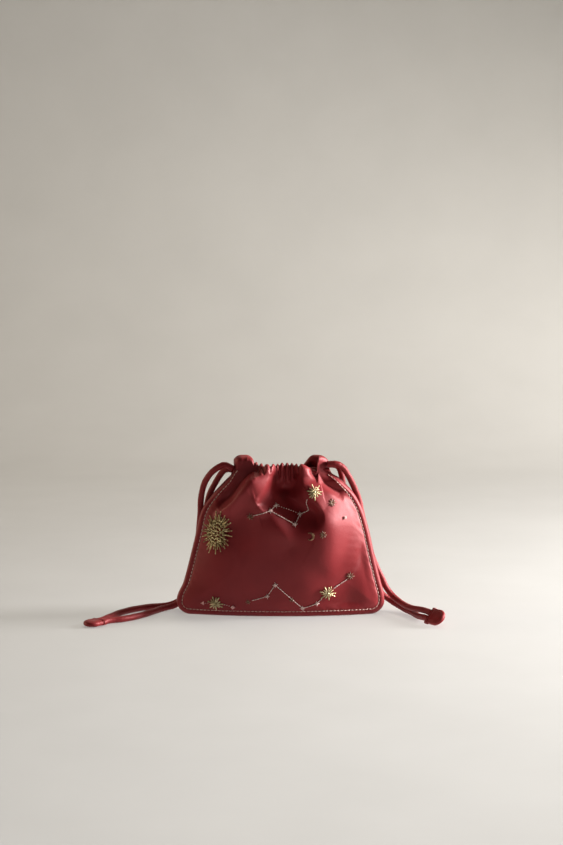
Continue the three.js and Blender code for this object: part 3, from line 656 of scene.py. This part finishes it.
# Cords
def rouleau_tube(node, points, radius):
    """Turned satin tube with a sewn seam along it and small creases where it bends."""
    run = run_along(points)
    heading = np.gradient(points, run, axis=0)
    turning = np.linalg.norm(np.gradient(heading, run, axis=0), axis=1)
    drift, drift_rate = CORD_CREASE_DRIFT
    crease = np.sin(2 * np.pi * run / CORD_CREASE_PITCH + drift * np.sin(drift_rate * run))
    creased = (smoothstep(turning, *CORD_BENDS) * crease)[:, None]
    angle = 2 * np.pi * np.arange(CORD_SIDES) / CORD_SIDES
    seam = bell(np.angle(np.exp(1j * (angle - CORD_SEAM_ANGLE))), CORD_SEAM_WIDTH)
    soft = np.sin(2 * np.pi * run / CORD_SOFT_PITCH)[:, None] * np.cos(2 * angle)
    bundle = Bundle()
    radii = radius + CORD_CREASE * creased + CORD_SOFTNESS * soft - CORD_SEAM * seam
    bundle.tube(points, radii, CORD_SIDES)
    return bundle.make(node.replace("cord", "strand"), CORD_SATIN, "cord_satin", node)


def lengthened(points, before, after):
    """The points, run on straight at both ends."""
    head = points[0] + unit(points[0] - points[1]) * before
    tail = points[-1] + unit(points[-1] - points[-2]) * after
    return np.concatenate([[head], points, [tail]])


def casing_route(side):
    """Middle of the drawstring inside the casing, out along the front and back along the back."""
    lane = LANE_Z + side * LANE_OFFSET
    start, end = (side * LANE_START, -LANE_DEPTH, lane), (side * LANE_END, -LANE_DEPTH, lane)
    front = np.linspace(start, end, LANE_POINTS)
    back = front[::-1] * (1, -1, 1)
    return np.concatenate([front, [[-side * LANE_TURN, 0, lane]], back])


def make_cords():
    for name, tenths in STRANDS.items():
        points = np.array(tenths) / TENTHS_PER_M
        route = smooth_curve(lengthened(points, CORD_INTO_CASING, CORD_INTO_TAB), CORD_STEP)
        strand = rouleau_tube(name, route, CORD_RADIUS)
    for name, side in CASING_STRANDS.items():
        rouleau_tube(name, smooth_curve(casing_route(side), CASING_STEP), SQUEEZED_RADIUS)


# Tabs on the cord ends
def tab_outline(count):
    half = TAB_WIDTH / 2
    straight = TAB_LENGTH - half
    arc = np.linspace(-np.pi / 2, np.pi / 2, count)
    round_end = np.stack([straight + half * np.cos(arc), half * np.sin(arc)], axis=1)
    upper = np.linspace((straight, half), (0, half), count)[1:]
    mouth = np.linspace((0, half), (0, -half), count // 2 + 1)[1:-1]
    lower = np.linspace((0, -half), (straight, -half), count)[:-1]
    return np.concatenate([round_end, upper, mouth, lower])


def make_tab(name, mouth, heading, roll):
    """Plump D of folded satin: a seam runs round its edge, and a cuff closes its mouth."""
    outline = tab_outline(TAB_ARC)
    middle = np.array([TAB_LENGTH * TAB_MIDDLE, 0.0])
    half = TAB_THICKNESS / 2
    top, bottom = [], []
    for share in 1 - np.linspace(0, 1, TAB_ROWS + 1)[:-1] ** TAB_CROWDING:
        flat = middle + (outline - middle) * share
        inset = np.linalg.norm(outline - flat, axis=1)
        rim = quarter_round(inset / TAB_RIM)
        groove = TAB_GROOVE * bell(inset - TAB_GROOVE_INSET, TAB_GROOVE_WIDTH)
        plump = TAB_FLAT + (1 - TAB_FLAT) * smoothstep(inset, *TAB_PLUMP)
        uneven = TAB_WAVER * np.sin(TAB_WAVES[0] * flat[:, 0]) * np.cos(TAB_WAVES[1] * flat[:, 1])
        height = (half * plump + uneven) * rim - groove
        top.append(np.column_stack([flat, height]))
        bottom.append(np.column_stack([flat, -height]))
    rings = np.array([*bottom[:0:-1], *top])
    points = np.concatenate([rings.reshape(-1, 3), [[*middle, -half], [*middle, half]]])
    cuff = smoothstep(CUFF_LENGTH - points[:, 0], *CUFF_EDGE)
    fold_line = bell(points[:, 0] - CUFF_LENGTH - CUFF_FOLD_PLACE, CUFF_FOLD_WIDTH)
    swelling = CUFF_PROUD / half * cuff - CUFF_FOLD * fold_line
    points[:, 1] *= 1 + swelling * CUFF_WIDENING
    points[:, 2] *= 1 + swelling
    headed = Matrix.Rotation(math.radians(heading), 3, "Z")
    rolled = Matrix.Rotation(math.radians(roll), 3, "X")
    points = points @ np.array(headed @ rolled).T + mouth
    faces = tube_faces(len(rings), len(outline))
    tab = make_piece(name.replace("cord_end", "tab"), points, faces, CORD_SATIN, "cord_satin", name)
    return tab


# Panels
def panel_columns():
    even = np.linspace(-1, 1, PANEL_COLUMNS)
    return (1 - EDGE_CROWDING) * even + EDGE_CROWDING * np.sin(np.pi * even / 2)


def panel_heights():
    turn = np.linspace(0, np.pi / 2, CORNER_ROWS)
    corner = CORNER_RADIUS * (1 - np.cos(turn))
    middle = np.linspace(CORNER_RADIUS, UPPER_FROM, MIDDLE_ROWS)[1:]
    upper = np.linspace(UPPER_FROM, CASING_TOP - ROLL_HEIGHT, UPPER_ROWS)[1:]
    return np.concatenate([corner, middle, upper])


def panel_rows(heights, columns, side, share):
    z = np.repeat(heights[:, None], len(columns), axis=1)
    x = along("centre", z) + half_width(z) * columns[None, :]
    return surface_point(x, z, side, share)


def roll_rows(outer, inner):
    """Rounded top edge between the last outer and inner rows."""
    turns = np.linspace(0, np.pi, ROLL_ROWS + 2)[1:-1, None]
    rows = (outer + inner) / 2 + np.cos(turns)[..., None] * (outer - inner) / 2
    rows[..., 2] += ROLL_HEIGHT * np.sin(turns)
    return rows


def make_panel(side, nodes):
    columns, heights = panel_columns(), panel_heights()
    outer = panel_rows(heights, columns, side, 1.0)
    inner = panel_rows(heights, columns, side, 0.0)
    rows = [outer, roll_rows(outer[-1], inner[-1]), inner[::-1]]
    if side == "back":
        rows.append(base_rows(inner[0], columns))
    grid = np.concatenate([*rows, outer[:1]])
    faces = grid_faces(*grid.shape[:2])
    if side == "back":
        faces = faces[:, ::-1]
    vertices, faces = welded(grid.reshape(-1, 3), faces)
    return make_piece(f"satin_{side}", vertices, faces, SATIN, "satin", *nodes)


def base_rows(back_edge, columns):
    """Underside from the back's lower edge to the front's."""
    front_edge = panel_rows(np.zeros(1), columns, "front", 0.0)[0]
    shares = np.linspace(0, 1, BASE_ROWS + 1)[1:, None, None]
    return back_edge + shares * (front_edge - back_edge)


def welded(vertices, faces):
    """Joins vertices that share a place, and drops the faces that close up."""
    keys = np.round(vertices / WELD_DISTANCE).astype(np.int64)
    _, first, back = np.unique(keys, axis=0, return_index=True, return_inverse=True)
    faces = back.reshape(-1)[faces]
    kept = []
    for face in faces.tolist():
        ring = [v for k, v in enumerate(face) if v != face[k - 1]]
        if len(set(ring)) >= 3:
            kept.append(ring)
    return vertices[first], kept


# Topstitching along the sides and the bottom
SEWN_LENGTH, SEWN_PITCH, SEWN_RADIUS, SEWN_START, SEWN_TOP = 0.0029, 0.0036, 0.00046, 0.001, 0.137
STITCH_POINTS = 6
SIDE_POINTS, CORNER_POINTS, BOTTOM_POINTS = 160, 16, 240


def stitch_line(side):
    """Points and normals of the line down the left side, along the bottom and up the right side."""
    heights = np.linspace(SEWN_TOP, CORNER_RADIUS, SIDE_POINTS)
    reach = along("half", heights) - STITCH_INSET
    left = np.stack([along("centre", heights) - reach, heights], axis=1)
    right = np.stack([along("centre", heights) + reach, heights], axis=1)[::-1]
    turns = np.linspace(0, np.pi / 2, CORNER_POINTS)[1:]
    radius = CORNER_RADIUS - STITCH_INSET
    pivot_x = along("half", CORNER_RADIUS) - CORNER_RADIUS
    corner = np.stack([-pivot_x - radius * np.cos(turns), CORNER_RADIUS - radius * np.sin(turns)], axis=1)
    bottom = np.linspace((-pivot_x, STITCH_INSET), (pivot_x, STITCH_INSET), BOTTOM_POINTS)[1:-1]
    x, z = np.concatenate([left, corner, bottom, corner[::-1] * (-1, 1), right]).T
    return surface_point(x, z, side), surface_normal(x, z, side)


def make_topstitch(side):
    points, normals = stitch_line(side)
    run = run_along(points)
    t = np.linspace(0, 1, STITCH_POINTS)
    arch = np.sin(np.pi * t)
    height = SEWN_RADIUS * (0.1 + 0.8 * arch)
    bundle = Bundle()
    for start in np.arange(SEWN_START, run[-1] - SEWN_LENGTH, SEWN_PITCH):
        places = start + SEWN_LENGTH * t
        line = np.stack([np.interp(places, run, column) for column in points.T], axis=1)
        away = np.stack([np.interp(places, run, column) for column in normals.T], axis=1)
        bundle.tube(line + away * height[:, None], SEWN_RADIUS * (0.55 + 0.45 * arch))
    bundle.make(f"topstitch_{side}", TOPSTITCH, "stitch_thread")


# Embroidery, placed by the photograph's pixels on the front
SUN_PIXEL, SUN_TILT, SUN_HALF, SUN_PATCH = (218.0, 532.5), -14.0, np.array([0.0142, 0.0206]), 0.010
SUN_RINGS = ((0.60, 24, 0.0022), (0.46, 24, 0.0032), (0.30, 18, 0.0040), (0.13, 9, 0.0045))
SUN_WIRE_RADIUS, SUN_WIRE_FALL, SUN_WIRE_RISE = 0.00066, 0.0008, 0.0004
BRISTLES, BRISTLE_ROOT, BRISTLE_RADIUS = 38, 0.45, 0.00060
TIP_LENGTH, TIP_RADIUS, TIP_RISE = 0.0011, 0.00072, 0.0004
GOLD_STARS = {"star_upper": (314.4, 492.5), "star_right": (327.4, 592.8), "star_left": (215.9, 602.8)}
GOLD_STAR_PATCH, GOLD_STAR_HEART, GOLD_STAR_RAYS, GOLD_STAR_KNOTS = 0.006, 0.0014, 13, 5
RAY_RADIUS, RAY_HEIGHTS = 0.00064, (0.0020, 0.0017, 0.0010)
KNOT_RADIUS, KNOT_HEIGHTS = 0.0006, (0.0019, 0.0026, 0.0019)
MOON_PIXEL, MOON_RADIUS, MOON_WIDTH, MOON_WIRES, MOON_ARC = (310.6, 536.5), 0.0040, 0.0024, 17, 250
MOON_WIRE_RADIUS, MOON_WIRE_HEIGHTS = 0.00048, (0.0007, 0.0012, 0.0007)
PATCH_BULGE = 0.0012
COIL, COIL_DEPTH, COIL_STEPS, COIL_LEAST, COIL_SIDES, COIL_END = 0.00085, 0.16, 4, 10, 7, 0.0008


def lifted(places, heights):
    """Points at nominal (x, z) places, raised off the front by heights."""
    x, z = places.T
    return surface_point(x, z) + surface_normal(x, z) * heights[:, None]


def flat_patch(centre, reach):
    """Lays a motif on the plane of the cloth about its centre, clear of any bulge in it."""
    ring = [centre + reach * towards(angle) for angle in np.linspace(0, 2 * np.pi, 9)[:-1]]
    x, z = np.array([centre, *ring]).T
    normal = unit(surface_normal(x, z).mean(axis=0))
    origin = surface_point(x, z).mean(axis=0)

    def laid(places, heights):
        x = places[:, 0]
        z = places[:, 1] + origin[2] - centre[1]
        plane = origin[1] - (normal[0] * (x - origin[0]) + normal[2] * (z - origin[2])) / normal[1]
        cloth = surface_point(x, places[:, 1])[:, 1]
        y = np.clip(cloth, plane - PATCH_BULGE, plane)
        return np.stack([x, y, z], axis=1) + normal * heights[:, None]

    return laid


def between(start, end, t):
    return start * (1 - t)[:, None] + end * t[:, None]


def straight_stitch(bundle, start, end, radius, height, laid=lifted):
    t = np.linspace(0, 1, STITCH_POINTS)
    arch = np.sin(np.pi * t)
    points = laid(between(start, end, t), height + radius * (0.2 + 0.8 * arch))
    bundle.tube(points, radius * (0.5 + 0.5 * arch**0.6))


def purl(bundle, start, end, radius, heights, laid=lifted):
    """Coiled metal wire from start to end, ribbed along its length."""
    length = np.linalg.norm(end - start)
    t = np.linspace(0, 1, max(COIL_LEAST, int(length / COIL * COIL_STEPS)))
    rise = np.interp(t, np.linspace(0, 1, len(heights)), heights)
    ribs = 1 + COIL_DEPTH * np.cos(2 * np.pi * t * length / COIL)
    ends = 0.55 + 0.45 * np.minimum(1, np.minimum(t, 1 - t) * length / COIL_END)
    bundle.tube(laid(between(start, end, t), rise), radius * ribs * ends, COIL_SIDES)


def spoke(draw, k, count, jitter):
    """Angle of one of count spokes, a little out of place."""
    return 2 * np.pi * (k + draw.uniform(-jitter, jitter)) / count


def make_sun(draw):
    """Oval sun: a domed heap of coiled wire, ringed by thin bristles that end in small beads."""
    centre = on_front(SUN_PIXEL)
    laid = flat_patch(centre, SUN_PATCH)
    rays, tips, core = Bundle(), Bundle(), Bundle()
    tilt = towards(math.radians(SUN_TILT))
    tilted = np.array([tilt, (-tilt[1], tilt[0])])

    def on_oval(angle, share):
        return centre + (towards(angle) * SUN_HALF * share) @ tilted

    for k in range(BRISTLES):
        angle = spoke(draw, k, BRISTLES, 0.22)
        reach = draw.uniform(0.95, 1.06) if k % 2 == 0 else draw.uniform(0.78, 0.90)
        start = on_oval(angle, BRISTLE_ROOT)
        end = on_oval(angle + draw.uniform(-0.08, 0.08), reach)
        rise = draw.uniform(0.0010, 0.0026)
        straight_stitch(rays, start, end, BRISTLE_RADIUS, rise, laid)
        back = end - unit(end - start) * TIP_LENGTH
        purl(tips, back, end, TIP_RADIUS, (rise + TIP_RISE, rise + TIP_RISE), laid)
    for share, count, height in SUN_RINGS:
        heights = (height - SUN_WIRE_FALL, height + SUN_WIRE_RISE, height - SUN_WIRE_FALL)
        for k in range(count):
            angle = spoke(draw, k, count, 0.3)
            place = on_oval(angle, share)
            direction = towards(angle + draw.uniform(-0.9, 0.9))
            step = draw.uniform(0.0011, 0.0020) * direction
            purl(core, place - step, place + step, SUN_WIRE_RADIUS, heights, laid)
    core.make("sun_wirework", GOLD, "gold_thread", "sun_motif")
    rays.make("sun_bristles", BRONZE, "gold_thread")
    tips.make("sun_tips", PALE_GOLD, "gold_thread")


def make_gold_star(name, pixel, draw):
    centre = on_front(pixel)
    laid = flat_patch(centre, GOLD_STAR_PATCH)
    bundle = Bundle()
    for k in range(GOLD_STAR_RAYS):
        direction = towards(spoke(draw, k, GOLD_STAR_RAYS, 0.25))
        reach = draw.uniform(0.0068, 0.0082) if k % 2 == 0 else draw.uniform(0.0050, 0.0066)
        start, end = centre + direction * GOLD_STAR_HEART, centre + direction * reach
        purl(bundle, start, end, RAY_RADIUS, RAY_HEIGHTS, laid)
    for k in range(GOLD_STAR_KNOTS):
        step = GOLD_STAR_HEART * towards(2 * np.pi * k / GOLD_STAR_KNOTS + draw.uniform(-0.3, 0.3))
        purl(bundle, centre - step, centre + step, KNOT_RADIUS, KNOT_HEIGHTS, laid)
    bundle.make(f"{name}_wirework", PALE_GOLD, "gold_thread", name)


# Small stars: pixel, rays and length of the rays
SMALL_STARS = {
    "star_by_line": ((250.3, 516.6), 7, 0.0036),
    "star_beside_upper": ((332.0, 502.8), 8, 0.004),
    "star_by_moon": ((322.8, 535.0), 8, 0.0038),
    "star_low_right": ((350.0, 576.0), 8, 0.0042),
    "rosette": ((248.0, 601.7), 6, 0.0026),
    "faint_star": ((291.5, 599.7), 6, 0.0026),
}
STITCH_LINES = [
    [(253.0, 515.7), (270.2, 510.8), (276.0, 505.5)],
    [(270.2, 510.8), (294.9, 524.6), (300.0, 514.3), (308.7, 510.4), (307.5, 505.9), (306.4, 502.8),
     (307.5, 499.0)],
    [(251.9, 600.5), (267.2, 596.3), (275.2, 584.8), (302.6, 608.1), (316.7, 603.6), (322.0, 598.0)],
    [(333.0, 588.6), (346.6, 579.5)],
]
DOTTED_LINES = [
    [(276.0, 505.5), (300.0, 514.3)],
    [(224.3, 604.3), (231.0, 606.2)],
    [(205.5, 602.8), (209.5, 602.8)],
]
STITCH_NODES = STITCH_LINES[0][1:] + STITCH_LINES[1][1:3] + STITCH_LINES[2][1:5]
NODE_ARMS = ((8, 0.0027), (52, 0.0017), (98, 0.0027), (142, 0.0017))
LINE_STITCH, DOT_STITCH = (0.0026, 0.00012), (0.0013, 0.0013)
LINE_RADIUS, LINE_HEIGHT, ARM_RADIUS, ARM_HEIGHT = 0.00046, 0.0001, 0.00038, 0.0003
# The glint stitches are pale thread laid over the star rays: painted highlights.
STAR_HEART, STAR_RADIUS, STAR_HEIGHT, PAINTED_GLINT_RADIUS, PAINTED_GLINT_HEIGHT = 0.0004, 0.00042, 0.0003, 0.00022, 0.0006
# Beads: pixel, sides, turn in degrees and radius; each has rings of (share of the radius, height)
BEADS = {
    "bead_upper_right": ((344.7, 517.7), 4, 45, 0.0021),
    "bead_low_left": ((202.9, 602.8), 3, 60, 0.0024),
    "bead_low_middle": ((233.1, 607.0), 4, 0, 0.0023),
}
BEAD_RINGS = ((0.80, 0.0001), (1.0, 0.0008), (0.72, 0.0015), (0.30, 0.0018))


def make_small_stars(draw):
    """Stars of dark thread, with a few pale stitches over them as painted glints of light."""
    dark, pale = Bundle(), Bundle()
    for pixel, rays, reach in SMALL_STARS.values():
        centre = on_front(pixel)
        laid = flat_patch(centre, reach)
        for k in range(rays):
            direction = towards(spoke(draw, k, rays, 0.12))
            ray = direction * reach * draw.uniform(0.85, 1.05)
            start = centre + direction * STAR_HEART
            straight_stitch(dark, start, centre + ray, STAR_RADIUS, STAR_HEIGHT, laid)
            # Every third ray gets a pale stitch along its middle as a painted glint of light.
            if k % 3 == 0:
                start, end = centre + 0.3 * ray, centre + 0.8 * ray
                straight_stitch(pale, start, end, PAINTED_GLINT_RADIUS, PAINTED_GLINT_HEIGHT, laid)
    dark.make("small_stars", DARK_THREAD, "gold_thread")
    pale.make("small_star_glints", PALE_THREAD, "stitch_thread")


def make_stitch_lines():
    bundle = Bundle()
    for pixels in STITCH_LINES:
        add_backstitch(bundle, pixels, *LINE_STITCH)
    for pixels in DOTTED_LINES:
        add_backstitch(bundle, pixels, *DOT_STITCH)
    for pixel in STITCH_NODES:
        centre = on_front(pixel)
        for degrees, reach in NODE_ARMS:
            arm = reach * towards(math.radians(degrees))
            straight_stitch(bundle, centre - arm, centre + arm, ARM_RADIUS, ARM_HEIGHT)
    bundle.make("constellation_stitches", PALE_THREAD, "stitch_thread")


def add_backstitch(bundle, pixels, stitch, gap):
    places = [on_front(pixel) for pixel in pixels]
    for start, end in zip(places[:-1], places[1:]):
        length = np.linalg.norm(end - start)
        count = max(1, round(length / (stitch + gap)))
        for k in range(count):
            a = start + (end - start) * (k / count)
            b = start + (end - start) * ((k + 1) / count - gap / length)
            straight_stitch(bundle, a, b, LINE_RADIUS, LINE_HEIGHT)


def make_moon():
    centre = on_front(MOON_PIXEL)
    bundle = Bundle()
    for t in np.linspace(0, 1, MOON_WIRES):
        direction = towards(math.radians(MOON_ARC * (t - 0.5)))
        inner_radius = MOON_RADIUS - MOON_WIDTH * math.sin(math.pi * (0.1 + 0.8 * t))
        start, end = centre + direction * inner_radius, centre + direction * MOON_RADIUS
        purl(bundle, start, end, MOON_WIRE_RADIUS, MOON_WIRE_HEIGHTS)
    bundle.make("moon_wirework", OLD_GOLD, "gold_thread", "moon_motif")


def make_beads():
    bundle = Bundle()
    for pixel, sides, turn, radius in BEADS.values():
        centre = on_front(pixel)
        angles = np.radians(turn) + 2 * np.pi * np.arange(sides) / sides
        outline = radius * np.stack([np.cos(angles), np.sin(angles)], axis=1)
        rings = [lifted(centre + share * outline, np.full(sides, height)) for share, height in BEAD_RINGS]
        foot = np.arange(sides)
        lid = foot + (len(BEAD_RINGS) - 1) * sides
        bundle.add(np.concatenate(rings), [*ring_faces(len(BEAD_RINGS), sides), foot[::-1], lid])
    beads = bundle.make("rose_beads", BEAD, "bead")
    beads.data.polygons.foreach_set("use_smooth", [False] * len(beads.data.polygons))


# Stage and light
def make_stage():
    """Paper that runs from in front of the camera, under the bag, and up behind it."""
    width, near, far, radius, top = 5.0, -10.0, 0.95, 0.70, 2.4
    turns = np.linspace(0, np.pi / 2, 24)[1:]
    floor = [(y, 0.0) for y in np.linspace(near, far, 13)]
    bend = [(far + radius * math.sin(turn), radius * (1 - math.cos(turn))) for turn in turns]
    wall = [(far + radius, z) for z in np.linspace(radius, top, 9)[1:]]
    profile = floor + bend + wall
    vertices = [(x, y, z) for y, z in profile for x in (-width, width)]
    faces = [(2 * k, 2 * k + 1, 2 * k + 3, 2 * k + 2) for k in range(len(profile) - 1)]
    sweep = make_object("sweep", vertices, faces, PAPER)
    return sweep


def area_light(name, place, target, size, power, colour, spread):
    data = bpy.data.lights.new(name, "AREA")
    data.shape = "RECTANGLE"
    data.size, data.size_y = size
    data.energy = power
    data.spread = math.radians(spread)
    data.color = colour
    light = bpy.data.objects.new(name, data)
    light.location = place
    light.rotation_euler = (Vector(target) - Vector(place)).to_track_quat("-Z", "Y").to_euler()
    bpy.context.scene.collection.objects.link(light)
    return light


def light_group(name, members):
    group = bpy.data.collections.new(name)
    for member in members:
        group.objects.link(member)
    return group


def key_light(name, share, receivers):
    place, target, size, power, colour, spread = KEY_LIGHT
    light = area_light(name, place, target, size, power * share, colour, spread)
    light.light_linking.receiver_collection = receivers
    return light


def make_light(sweep):
    """Studio light from the right; most of its key falls on the paper without the bag's shadow."""
    pieces = [piece for piece in bpy.data.objects if piece.type == "MESH" and piece != sweep]
    paper = light_group("lit_paper", [sweep])
    key_light("key", 1, light_group("lit_bag", pieces))
    key_light("paper key shadowed", KEY_SHADOW_SHARE, paper)
    clear = key_light("paper key", 1 - KEY_SHADOW_SHARE, paper)
    clear.light_linking.blocker_collection = paper
    lights = {name: area_light(name, *values) for name, values in LIGHTS.items()}
    lights["floor"].light_linking.receiver_collection = paper
    world = bpy.data.worlds.new("studio")
    world.use_nodes = True
    background = world.node_tree.nodes["Background"]
    settle(world.node_tree, background, {"Color": WORLD_COLOUR, "Strength": WORLD_STRENGTH})
    bpy.context.scene.world = world
    bpy.context.scene.view_settings.view_transform = "Standard"


def main():
    make_camera()
    tabs = {name: make_tab(name, *place) for name, place in TABS.items()}
    make_cords()
    front = make_panel("front", ["front_panel", "front_casing"])
    back = make_panel("back", ["back_panel", "back_casing"])
    make_topstitch("front")
    make_topstitch("back")
    draw = np.random.default_rng(7)
    make_sun(draw)
    for name, pixel in GOLD_STARS.items():
        make_gold_star(name, pixel, draw)
    make_small_stars(draw)
    make_stitch_lines()
    make_moon()
    make_beads()
    sweep = make_stage()
    make_light(sweep)


main()
